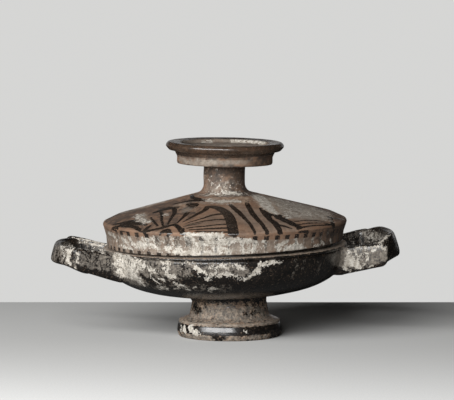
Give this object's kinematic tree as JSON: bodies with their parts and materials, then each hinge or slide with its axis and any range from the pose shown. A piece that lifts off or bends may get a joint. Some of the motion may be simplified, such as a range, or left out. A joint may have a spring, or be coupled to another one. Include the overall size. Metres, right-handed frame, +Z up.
{
  "type": "lidded lekanis",
  "caption": "Shallow clay bowl on a low moulded foot with a ribbon loop handle on each side, under a conical lift-off lid with a dished disc knob.",
  "frame": {"origin": "on the table, under the middle of the width across the handles and of the depth", "axes": "+Z up, +X along the handles towards the right one as seen from the painted front, -Y towards the viewer of that front"},
  "size_m": [0.2312, 0.1612, 0.1289],
  "materials": {
    "black_gloss_clay": "worn black gloss slip with white lime crust and bare clay where it has flaked",
    "painted_clay": "matt reserved clay painted with black ornament, stained and worn, with a black gloss knob rim"
  },
  "bodies": {
    "root": {"bowl": "black_gloss_clay", "lid": "painted_clay"}
  },
  "joints": []
}
